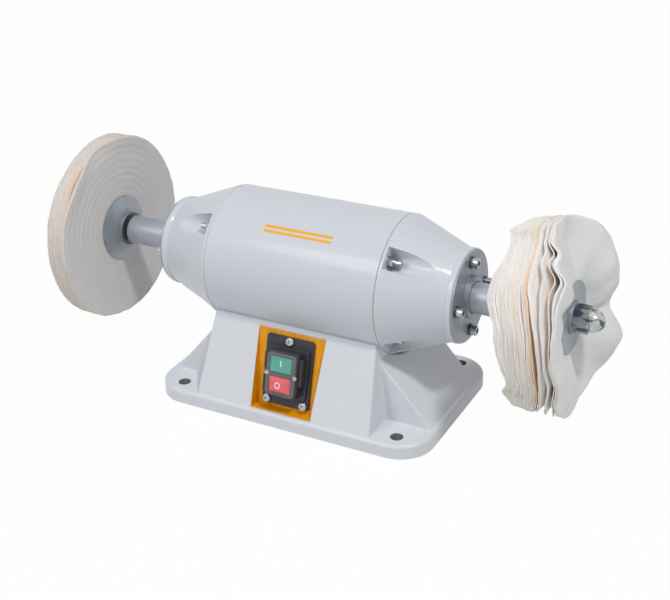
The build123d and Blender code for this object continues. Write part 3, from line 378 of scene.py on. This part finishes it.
def cotton(name, low, high, painted_glow, sewn):
    """Plain woven cotton: threads on the cut cloth, cream and frayed at the rim, and a painted warm glow between
    the plies.
    """
    cloth = Finish(name)
    across, along = cloth.axes(cloth.cut())[:2]
    ply = cloth.attribute("ply")
    spot = cloth.add("CombineXYZ", None, [across, along, 9 * ply])
    # share of the painted warm glow that stands in for light bounced between the plies
    between = cloth.attribute("between")
    rim = cloth.attribute("rim")
    cloud = cloth.noise(spot, 22, 4)
    slub = cloth.noise(spot, 1.1, 3, 0.7)
    tone = cloth.noise(cloth.add("CombineXYZ", None, [across, along, 80 * ply]), 110, 3)
    weave = 0.5 + 0.25 * across.wave(thread_pitch) + 0.25 * along.wave(thread_pitch)
    colour = cloth.mix(cloud, low, high)
    colour = cloth.mix(0.36 * rim * tone.rise(0.46, 0.6), colour, shade(250, 226, 203))
    # painted light: the warm glow between the plies
    colour = cloth.mix(between, colour, painted_glow)
    fray = (slub - 0.5).rise(0.02, 0.16) * rim
    colour = cloth.mix(0.4 * fray, colour, shade(224, 200, 178))
    rumple = cloth.bump(cloth.noise(spot, 11, 3), 1.2, 0.55)
    relief = cloth.bump(0.6 * weave + 0.4 * slub, 0.12, 0.5, rumple)
    if sewn:
        radius = (across * across + along * along).maths("SQRT")
        row = ((radius - first_row) / row_pitch).maths("ROUND") * row_pitch + first_row
        on_row = (1 - abs(radius - row).rise(0.25, 0.6)) * radius.within(*sewn_band, 0.5)
        run = along.maths("ARCTAN2", across) * row
        thread = on_row * run.wave(stitch).rise(-0.5, 0.1)
        colour = cloth.mix(0.25 * thread, colour, shade(238, 236, 232))
        # painted shade along each row between the stitches, where the cloth is pulled in
        colour = cloth.mix(0.16 * (on_row - thread).maths("MAXIMUM", 0.0), colour, shade(132, 126, 122))
        relief = cloth.bump(thread, 0.25, 0.6, relief)
    return cloth.surface(
        Base_Color=colour,
        Roughness=0.9,
        Normal=relief,
        Specular_IOR_Level=0.2,
        Sheen_Weight=0.15,
        Subsurface_Weight=0.35,
        Subsurface_Radius=(1, 0.75, 0.55),
        Subsurface_Scale=1.5 * mm,
    )


finishes = {
    "paint": enamel("enamel", shade(206, 211, 219), shade(213, 217, 224), 0.06, tube_marks),
    "steel": satin_steel("satin_steel", shade(145, 152, 160), shade(167, 173, 180)),
    "zinc": bright_zinc(),
    "bright_nut": polished_nut(),
    "lamination": stacked_sheet(),
    "rotor_aluminium": cast_aluminium(),
    "copper": wound_copper(),
    "black_plastic": moulded_plastic("black_plastic", shade(40, 42, 48), shade(50, 52, 59), 0.32),
    "grey_plastic": moulded_plastic("grey_plastic", shade(92, 95, 102), shade(106, 108, 115), 0.40),
    "green_plastic": moulded_plastic("green_plastic", shade(74, 163, 144), shade(92, 178, 160), 0.25, 0.3),
    "red_plastic": moulded_plastic("red_plastic", shade(236, 94, 98), shade(243, 108, 110), 0.25, 0.3),
    "capacitor_case": moulded_plastic("capacitor_case", shade(208, 206, 198), shade(220, 218, 211), 0.35),
    "sewn_cotton": cotton(
        "sewn_cotton", shade(228, 222, 218), shade(236, 231, 227), painted_glow=shade(252, 200, 156), sewn=True
    ),
    "loose_cotton": cotton(
        "loose_cotton", shade(249, 247, 244), shade(254, 252, 250), painted_glow=shade(254, 205, 158), sewn=False
    ),
}

# Nodes that differ from the rest of their slot
# painted light: a lighter copy of the satin steel, so the spacer sleeves show brighter as if lit
sleeve_steel_painted_light = satin_steel("sleeve_steel_painted_light", shade(157, 164, 175), shade(181, 187, 197))
own_finishes = {
    "base_casting": enamel("base_enamel", shade(217, 221, 228), shade(223, 227, 232), 0.14, pedestal_marks),
    "left_spacer_sleeve": sleeve_steel_painted_light,
    "right_spacer_sleeve": sleeve_steel_painted_light,
    "cover_washers": blued_steel(),
}
mark_paint = moulded_plastic("mark_paint", shade(226, 230, 228), shade(240, 242, 240), 0.5)
for subpart in frame["record"]["subparts"]:
    mesh = nodes[subpart["node"]].data
    mesh.materials.clear()
    mesh.materials.append(own_finishes.get(subpart["node"], finishes[subpart["material_slot"]]))


# Cotton buffs: each ply is a disc of cloth with a hole, cut flat and then laid between the flanges

ply_steps = 216   # round a ply
ply_thickness, thin_share = 0.8 * mm, 0.42   # of the rim, and how much of that the rest has
hem_from, fray_from = 0.86, 0.9   # where the rim starts, on the way from the flanges outwards


def on_disc(x, radius, angle):
    """Point at a place along the spindle, a radius from it and an angle from the front upwards."""
    return Vector((x, spindle.y - radius * cos(angle), spindle.z + radius * sin(angle)))


def ease(low, high, value):
    """0 up to low and 1 from high on, with a soft step between."""
    share = min(max((value - low) / (high - low), 0), 1)
    return share * share * (3 - 2 * share)


def round_rim(marks, angle):
    """Length at an angle, on a smooth curve through marks given as degrees and millimetres round the rim."""
    turn = degrees(angle) % 360
    stops = sorted(marks.items())
    lead_in = [(place - 360, value) for place, value in stops[-2:]]
    run_out = [(place + 360, value) for place, value in stops[:2]]
    stops = lead_in + stops + run_out
    for (a, before), (b, first), (c, second), (d, after) in zip(stops, stops[1:], stops[2:], stops[3:]):
        if b <= turn <= c:
            share = (turn - b) / (c - b)
            leave, arrive = (second - before) / (c - a) * (c - b), (after - first) / (d - b) * (c - b)
            bend = leave * (1 - share) - arrive * share + (second - first) * (2 * share - 1)
            return (first + (second - first) * share + share * (1 - share) * bend) * mm


def ripple(angle, waves, layer):
    """Smooth noise from -1 to 1 round the rim: waves says how closely it turns, layer picks the ply."""
    return noise.noise(Vector((waves * cos(angle), waves * sin(angle), layer)))


def bump_at(angle, centre, width):
    """1 at an angle in degrees, falling off on both sides of it."""
    away = (degrees(angle) - centre + 180) % 360 - 180
    return exp(-((away / width) ** 2))


def join_rows(shape, rows):
    """Adds the faces between each row of points and the next, and from the last row to the first."""
    for row, following in zip(rows, rows[1:] + rows[:1]):
        for corners in zip(row, row[1:], following[1:], following):
            shape.faces.new(corners)


def lay_ply(name, order, rings, shape, fray, slot, node):
    """Makes one flat ply from rows of points, keeps its cut as a map, and moves each point as shape says."""
    cloth = bmesh.new()
    turns = [tau * step / ply_steps for step in range(ply_steps)]
    join_rows(cloth, [[cloth.verts.new(on_disc(0, radius, turn)) for radius in rings] for turn in turns])
    cut = cloth.loops.layers.uv.new("cut")
    between = cloth.verts.layers.float.new("between")
    rim = cloth.verts.layers.float.new("rim")
    ply_number = cloth.verts.layers.float.new("ply")
    hem = cloth.verts.layers.deform.verify()
    for face in cloth.faces:
        face.smooth = True
        for loop in face.loops:
            loop[cut].uv = (loop.vert.co.y - spindle.y, loop.vert.co.z - spindle.z)
    for point in cloth.verts:
        radius = hypot(point.co.y - spindle.y, point.co.z - spindle.z)
        angle = atan2(point.co.z - spindle.z, spindle.y - point.co.y)
        outward = (radius - clamp_radius) / (rings[-1] - clamp_radius)
        x, new_radius, painted_glow = shape(radius, angle, max(outward, 0))
        point.co = on_disc(x, new_radius, angle)
        # the share of painted warm glow at this point
        point[between] = painted_glow
        point[ply_number] = order
        point[rim] = fray * ease(fray_from, 1, outward)
        point[hem][0] = ease(hem_from, 1, outward)
    mesh = bpy.data.meshes.new(name)
    cloth.to_mesh(mesh)
    cloth.free()
    mesh.materials.append(finishes[slot])
    ply = bpy.data.objects.new(name, mesh)
    bpy.context.scene.collection.objects.link(ply)
    ply.vertex_groups.new(name="hem")
    body = ply.modifiers.new("cloth", "SOLIDIFY")
    body.thickness = ply_thickness
    body.offset = 0
    body.vertex_group = "hem"
    body.thickness_vertex_group = thin_share
    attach(ply, "spindle")
    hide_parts(node)
    width = 2 * rings[-1]
    pi * (rings[-1] ** 2 - rings[0] ** 2)


# Loose buff: a fan of plies next to the motor, a lip of more plies across its mouth, and the outside sheets

loose_foot, loose_head = span("right_inner_flange", 0)[1], span("right_outer_flange", 0)[0]
loose_reach = 60 * mm   # of a rumpled ply, from the flanges to its rim
lean_bend = 1.15   # power of the way outwards that a ply leans with
ply_pitch = 0.85 * mm   # of rims that lie on each other
fan_count, lip_count, sheet_count = 29, 6, 4
loose_count = fan_count + lip_count + sheet_count

# Places of the rims along the spindle, in degrees from the front upwards and millimetres
inner_rim = {
    4: 223, 12: 221, 21: 213, 31: 206, 45: 208, 53: 213, 66: 215, 76: 210, 84: 205, 96: 208,
    125: 219, 175: 212, 215: 220, 255: 226, 285: 219, 312: 232, 326: 227, 340: 235, 350: 229,
}
mouth_rim = {
    11: 262, 21: 257, 30: 252, 39: 246, 48: 245, 68: 241, 87: 234, 110: 237, 150: 258, 180: 264, 215: 268,
    250: 258, 285: 246, 310: 256, 330: 265, 351: 267,
}
outer_rim = {
    0: 279, 19: 278, 29: 275, 38: 274, 46: 272, 56: 265, 66: 258, 86: 249, 108: 251, 125: 257,
    140: 269, 151: 280, 165: 287, 181: 288, 196: 280, 209: 291, 220: 293, 233: 287, 240: 280,
    260: 276, 285: 270, 300: 274, 330: 281, 345: 284,
}
# How the outside sheets' rims curl to either side of that
sheet_curl = {
    30: 0, 37: 0, 45: 3, 53: -4, 61: 2.5, 68: -2, 77: 0, 90: 0, 274: 0, 283: 4, 293: -3, 303: 0,
}
# Where the lip's plies lie, as shares of the way from the mouth to the outside sheets
lip_spread = (0, 0, 0, 0.46, 0.48, 0.94)

# Places round the rims: angle and width in degrees
sheet_folds = [(60, 22), (150, 25), (222, 18), (300, 26)]   # ridges of the outside sheets
sheet_creases = [(112, 10), (197, 12), (262, 9)]   # valleys between them
# low_mouth is where the mouth's plies show the least painted warm glow
wide_mouth, low_mouth = (2, 26), (-75, 35)   # where the fan opens most, and where it shows least warmth
pocket, tuck = (38, 11), (165, 22)   # inner sheets standing off the outer ones, and all of them pulled in
fold_height, rumple_height, gather_height = 26 * mm, 9 * mm, 9 * mm
pocket_depth, tuck_depth = 3 * mm, 7 * mm

# Longer and shorter places of the rims: millimetres, then angle and width in degrees
sheet_tatters = [(4, -72, 4), (4, -86, 3), (-4, -76, 20), (-5, 197, 8)]
lip_tatters = [(-4, -76, 14)]
fan_tatters = [(5, 84, 9)]


def tattered(tatters, angle):
    """Change of a rim's length at an angle, in millimetres."""
    return sum(change * bump_at(angle, *place) for change, *place in tatters)


@lru_cache(maxsize=None)
def loose_rims(turn):
    """Where each loose ply's rim lies along the spindle, at an angle in degrees."""
    angle = radians(turn)
    low, mouth, high = (round_rim(marks, angle) for marks in (inner_rim, mouth_rim, outer_rim))
    slack = [max(ripple(angle, 1.6, 5.3 * number) + 0.2, 0.05) for number in range(fan_count)]
    gape = (1.4 + 3.4 * bump_at(angle, *wide_mouth)) * mm
    spare = mouth - low - fan_count * ply_pitch - gape
    rims = []
    for share in slack:
        low += ply_pitch + spare * share / sum(slack)
        rims.append(low)
    sheets = [high - ply_pitch * behind for behind in reversed(range(sheet_count))]
    sheets[:2] = [rim - pocket_depth * bump_at(angle, *pocket) for rim in sheets[:2]]
    room = max(sheets[0] - mouth - ply_pitch * lip_count, 0)
    sway = 1 + 0.5 * ripple(angle, 2.2, 77)
    lips = [mouth + ply_pitch * number + room * part ** sway for number, part in enumerate(lip_spread)]
    return rims + lips + sheets


def sheet_form(lean, radius, angle, outward):
    """How far an outside sheet stands out beside its lean: swollen, folded, rumpled, gathered and curled."""
    swell = ease(-6, 8, lean / mm)
    x = lean * swell * (outward ** 0.85 - outward ** lean_bend + 0.8 * outward * (1 - outward))
    folds = sum(bump_at(angle + 0.25 * outward, *fold) for fold in sheet_folds)
    x += fold_height * folds * outward * (1.12 - outward)
    x += rumple_height * outward * (1.1 - outward) * noise.noise(on_disc(0, radius, angle) * 45)
    x += gather_height * outward * (1.15 - outward) * ripple(angle + 0.4 * outward, 5, 31 + 0.8 * outward)
    return x + round_rim(sheet_curl, angle) * outward ** 3 - tuck_depth * bump_at(angle, *tuck) * outward ** 6


def loose_ply(order):
    """How one loose ply leaves the flanges, leans and ends in a ragged rim."""
    share = (order + 0.5) / loose_count
    mouth = order in (fan_count - 2, fan_count - 1)
    lip = fan_count <= order < fan_count + lip_count
    sheet = order >= fan_count + lip_count
    # painted light: a warm glow deep inside the plies, and along the rims of the plies at the mouth
    if order > loose_count - 3:
        deep_glow, edge_glow = 0, 0
    elif sheet:
        deep_glow, edge_glow = 0.35, 0
    elif lip:
        deep_glow, edge_glow = 0.5, 0.05
    else:
        deep_glow = ease(-0.02, 0.12, share)
        edge_glow = 0.7 if mouth else 0.1 * ease(0.2, 0.6, share)

    def shape(radius, angle, outward):
        rims = loose_rims(round(degrees(angle), 2))
        rim_x = rims[order]
        rim_x += (0.8 * ripple(angle, 4, 2.2 * share) + 0.4 * ripple(angle, 11, 9 * share)) * mm
        foot_x = loose_foot + (loose_head - loose_foot) * share
        lean = rim_x - foot_x
        length = 1.6 * ripple(angle, 2, 7 * share) + 0.9 * ripple(angle, 3, 50 * share)
        length += 0.8 * ripple(angle, 9, 40 * share)
        length += 0.5 * noise.noise(Vector((60 * cos(angle), 60 * sin(angle), 5 * order)))
        x = foot_x + lean * outward ** lean_bend
        if sheet:
            x += sheet_form(lean, radius, angle, outward)
            length += tattered(sheet_tatters, angle)
        elif lip:
            room = max(rims[fan_count + lip_count] - rims[order], 0)
            x += 0.5 * room * ease(0.1, 0.5, outward) * (1 - ease(0.72, 1, outward))
            x += lip_spread[order - fan_count] * round_rim(sheet_curl, angle) * outward ** 3
            length += tattered(lip_tatters, angle)
        else:
            length += tattered(fan_tatters, angle) * (1 - ease(0, 0.3, share))
        if lip or sheet:
            creases = sum(bump_at(angle + 0.1 * outward, *crease) for crease in sheet_creases)
            x -= fold_height * creases * outward * (1.08 - outward)
        reach = max(loose_reach ** 2 - lean ** 2, 0) ** 0.5
        new_radius = radius if outward == 0 else clamp_radius + reach * outward + length * mm * outward ** 3
        # where the painted warm glow lies: deep inside the ply, and along its rim
        deep = 1 - (ease(0.7, 0.98, outward) if lip else ease(0.84, 0.995, outward))
        edge = edge_glow * (1 - 0.8 * bump_at(angle, *low_mouth)) if mouth else edge_glow
        return x, new_radius, (deep_glow * deep + edge * (1 - deep)) * ease(0, 0.1, outward)

    return shape


# Radii of a ply's rings of points, from its hole to its rim
loose_rings = [value * mm for value in (8.3, 21, 34.8, 36.5, 40, 45, 51, 58, 66, 74, 82, 89, 94, 97.5, 100)]
for order in range(loose_count):
    lay_ply(
        f"loose_ply_{order + 1:02d}",
        order,
        loose_rings,
        loose_ply(order),
        1.0 if order < fan_count else 0.3,
        "loose_cotton",
        "loose_buff",
    )


# Sewn buff: flat plies held by rows of stitches, the two faces puckered between the rows

sewn_count = 24
peeled_count = 3   # plies of the near face that have come away at the rim
# How far the near face's rim stands off, in degrees from the front upwards and millimetres
near_edge = {
    0: 0.5, 16: 0.4, 33: 2.2, 44: 4.0, 54: 3.4, 62: 0.7, 70: -2.8, 79: -3, 88: 0, 103: 2.5, 140: 0.5, 345: 0.5,
}
# Places round the rim: angle and width in degrees
peeled_tip, peeled_gap, glow_gap = (-9, 6), (48, 11), (47, 13)
# the plies that show in the peeled gap get a painted warm glow there
glow_plies = range(peeled_count, peeled_count + 4)   # those that show in the gap
pucker_height = 0.22 * mm
sewn_foot, sewn_head = span("left_inner_flange", 0)[0], span("left_outer_flange", 0)[1]


def sewn_ply(order):
    """How one sewn ply lies between the flanges, sways at its rim and, on a face, puckers between the rows."""
    share = (order + 0.5) / sewn_count
    face = order in (0, sewn_count - 1)
    side = 1 if order == 0 else -1

    def shape(radius, angle, outward):
        x = sewn_foot + (sewn_head - sewn_foot) * share
        free = ease(0.8, 1, outward)
        from_middle = 2 * abs(share - 0.5)
        sway = 0.6 * ripple(angle, 2.4, 3 + 1.5 * share) + 0.25 * ripple(angle, 7, 5 * share)
        x += (sway + 0.3 * (1 - order % 3)) * mm * free
        x -= side * mm * free * from_middle ** 4 * (0.5 + ripple(angle, 3, 50 + order))
        edge = round_rim(near_edge, angle)
        peeled = 1 if order < peeled_count else 0.15
        x += edge * (peeled if edge > 0 else 1 - share) * ease(0.72, 1, outward)
        if order < peeled_count - 1:
            x += 1.4 * mm * bump_at(angle, *peeled_tip) * free
        if order >= peeled_count:
            x -= 1.5 * mm * bump_at(angle, *peeled_gap) * (1 - share) * free
        if face:
            pucker = cos(tau * (radius / mm - first_row) / row_pitch + pi)
            gather = 1 + 0.5 * noise.noise(Vector((26 * cos(angle), 26 * sin(angle), radius * 120)))
            open_face = ease(0.03, 0.10, outward) * (1 - ease(0.93, 1, outward))
            x += side * pucker_height * pucker * gather * open_face
        length = 1.3 * ripple(angle, 2, 11 * share) + 0.7 * ripple(angle, 9, 40 * share)
        length += 0.4 * noise.noise(Vector((60 * cos(angle), 60 * sin(angle), 5 * order)))
        new_radius = radius + (length + 0.4) * mm * outward ** 4
        # painted light: a warm glow deep inside the inner plies, and in the peeled gap
        painted_glow = 0 if face else 1 - ease(0.8, 0.99, outward)
        if order in glow_plies:
            painted_glow = max(painted_glow, 0.6 * bump_at(angle, *glow_gap))
        return x, new_radius, painted_glow

    return shape


plain_rings = [value * mm for value in (8.3, 34, 60, 80, 88, 93, 97, 100)]
puckered_rings = [value * mm for value in (8.3, 20, 33, *(36 + 1.1 * step for step in range(58)), 100)]
for order in range(sewn_count):
    lay_ply(
        f"sewn_ply_{order + 1:02d}",
        order,
        puckered_rings if order in (0, sewn_count - 1) else plain_rings,
        sewn_ply(order),
        1.0,
        "sewn_cotton",
        "sewn_buff",
    )


# Marks on the two buttons: a bar for start and a ring for stop

bar_size, bar_edge = (1.5 * mm, 6 * mm, 0.5 * mm), 0.15 * mm
ring_radius, ring_wire, ring_flatness = 2.7 * mm, 0.6 * mm, 0.4
ring_steps, wire_steps = 48, 12


def button_top(node):
    """Middle of a button's top, on the line it is pressed along."""
    low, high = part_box(node)
    middle = (Vector(low) + Vector(high)) / 2
    top = max(point.co.dot(button_out) for point in nodes[node].data.vertices)
    return middle + button_out * (top - middle.dot(button_out))


def add_mark(name, node, shape):
    """Lays a mark that was made flat on a button's top."""
    turn = Matrix((button_right, button_up, button_out)).transposed().to_4x4()
    bmesh.ops.transform(shape, matrix=Matrix.Translation(button_top(node)) @ turn, verts=shape.verts[:])
    bmesh.ops.recalc_face_normals(shape, faces=shape.faces[:])
    mesh = bpy.data.meshes.new(name)
    shape.to_mesh(mesh)
    shape.free()
    mesh.materials.append(mark_paint)
    mark = bpy.data.objects.new(name, mesh)
    bpy.context.scene.collection.objects.link(mark)
    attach(mark, node)


def start_bar():
    bar = bmesh.new()
    bmesh.ops.create_cube(bar, size=1, matrix=Matrix.Diagonal((*bar_size, 1)))
    bmesh.ops.bevel(
        bar, geom=bar.edges[:], offset=bar_edge, segments=2, profile=0.5, affect="EDGES", material=-1
    )
    return bar


def stop_ring():
    ring = bmesh.new()
    angles = [tau * step / wire_steps for step in range(wire_steps)]
    section = [(ring_radius + ring_wire * cos(a), 0, ring_flatness * ring_wire * sin(a)) for a in angles]
    rows = []
    for step in range(ring_steps):
        turn = Matrix.Rotation(tau * step / ring_steps, 3, "Z")
        row = [ring.verts.new(turn @ Vector(spot)) for spot in section]
        rows.append(row + row[:1])
    join_rows(ring, rows)
    return ring


add_mark("start_bar", "start_button", start_bar())
add_mark("stop_ring", "stop_button", stop_ring())

# Return springs, between the contact block and a button's skirt: each gets a mesh of its own, after its length and
# the button's travel are read
for name in ("start", "stop"):
    spring, travel = nodes[f"{name}_spring"], joint(f"{name}_press")["range_m"][1]
    heights = [point.co.dot(button_out) for point in spring.data.vertices]
    foot, head = min(heights), max(heights)
    1 - travel / (head - foot)
    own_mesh(spring)


# Studio: pale floor, soft lamps, and the camera of the photograph

floor_size = 6
floor_white = 0.97   # share of plain white in the floor where the camera or a reflection sees it
sky_light, sky_white = 0.31, 1.0   # the sky as it lights the part, and as it is seen
lamp_aim = Vector((0, 0, 0.1))


def studio():
    """Floor and sky that are white to the eye and dimmer as lights."""
    floor_mesh = bpy.data.meshes.new("floor")
    shape = bmesh.new()
    bmesh.ops.create_grid(shape, x_segments=1, y_segments=1, size=floor_size)
    shape.to_mesh(floor_mesh)
    shape.free()
    floor = bpy.data.objects.new("floor", floor_mesh)
    bpy.context.scene.collection.objects.link(floor)
    cover = Finish("floor_white")
    cover.surface(Base_Color=(0.8, 0.8, 0.8), Roughness=0.9, Specular_IOR_Level=0.1)
    paths = cover.add("LightPath", output="Is Camera Ray").socket.node.outputs
    seen = [Value(cover, paths[f"Is {kind} Ray"]) for kind in ("Camera", "Glossy", "Transmission")]
    white = cover.add("Emission", None, {"Color": (1, 1, 1), "Strength": 1.0})
    lit = Value(cover, cover.shader.outputs[0])
    shown = floor_white * seen[0].maths("MAXIMUM", seen[1]).maths("MAXIMUM", seen[2])
    mixed = cover.add("MixShader", None, [shown, lit, white])
    cover.feed(cover.tree.nodes["Material Output"].inputs["Surface"], mixed)
    floor_mesh.materials.append(cover.material)

    world = bpy.data.worlds.new("studio")
    bpy.context.scene.world = world
    world.use_nodes = True
    tree = world.node_tree
    sky = tree.nodes["Background"]
    sky.inputs["Color"].default_value = (1, 1, 1, 1)
    path = tree.nodes.new("ShaderNodeLightPath")
    looked_at = tree.nodes.new("ShaderNodeMath")
    looked_at.operation = "MAXIMUM"
    tree.links.new(path.outputs["Is Camera Ray"], looked_at.inputs[0])
    tree.links.new(path.outputs["Is Glossy Ray"], looked_at.inputs[1])
    strength = tree.nodes.new("ShaderNodeMapRange")
    strength.inputs["To Min"].default_value = sky_light
    strength.inputs["To Max"].default_value = sky_white
    tree.links.new(looked_at.outputs[0], strength.inputs["Value"])
    tree.links.new(strength.outputs[0], sky.inputs["Strength"])


def lamp(name, place, size, power):
    """Round soft lamp, aimed at the middle of the part."""
    light = bpy.data.lights.new(name, "AREA")
    light.shape = "DISK"
    light.size = size
    light.energy = power
    lamp_object = bpy.data.objects.new(name, light)
    turn = (Vector(place) - lamp_aim).to_track_quat("Z", "Y").to_matrix().to_4x4()
    lamp_object.matrix_world = Matrix.Translation(place) @ turn
    bpy.context.scene.collection.objects.link(lamp_object)


def photo_camera():
    """Camera solved from the photograph: azimuth, elevation, roll, distance and lens."""
    azimuth, elevation, roll = radians(28.66), radians(26.67), radians(-1.75)
    target, distance = Vector((0.01656, 0, 0.10469)), 1.25127
    back = Vector((sin(azimuth) * cos(elevation), -cos(azimuth) * cos(elevation), sin(elevation)))
    level = Vector((0, 0, 1)).cross(back).normalized()
    upright = back.cross(level)
    right = level * cos(roll) + upright * sin(roll)
    up = upright * cos(roll) - level * sin(roll)
    data = bpy.data.cameras.new("photo_camera")
    data.sensor_width = 36
    data.lens = 65.38
    camera = bpy.data.objects.new("photo_camera", data)
    turn = Matrix((right, up, back)).transposed().to_4x4()
    camera.matrix_world = Matrix.Translation(target + back * distance) @ turn
    bpy.context.scene.collection.objects.link(camera)
    bpy.context.scene.camera = camera


studio()
lamp("key", (-0.75, -1.55, 1.6), size=0.8, power=14)
lamp("overhead", (0, 0.3, 2.1), size=1.2, power=1.5)
lamp("right", (1.0, -0.57, 2.1), size=0.25, power=19.5)
photo_camera()
bpy.context.scene.view_settings.view_transform = "Standard"
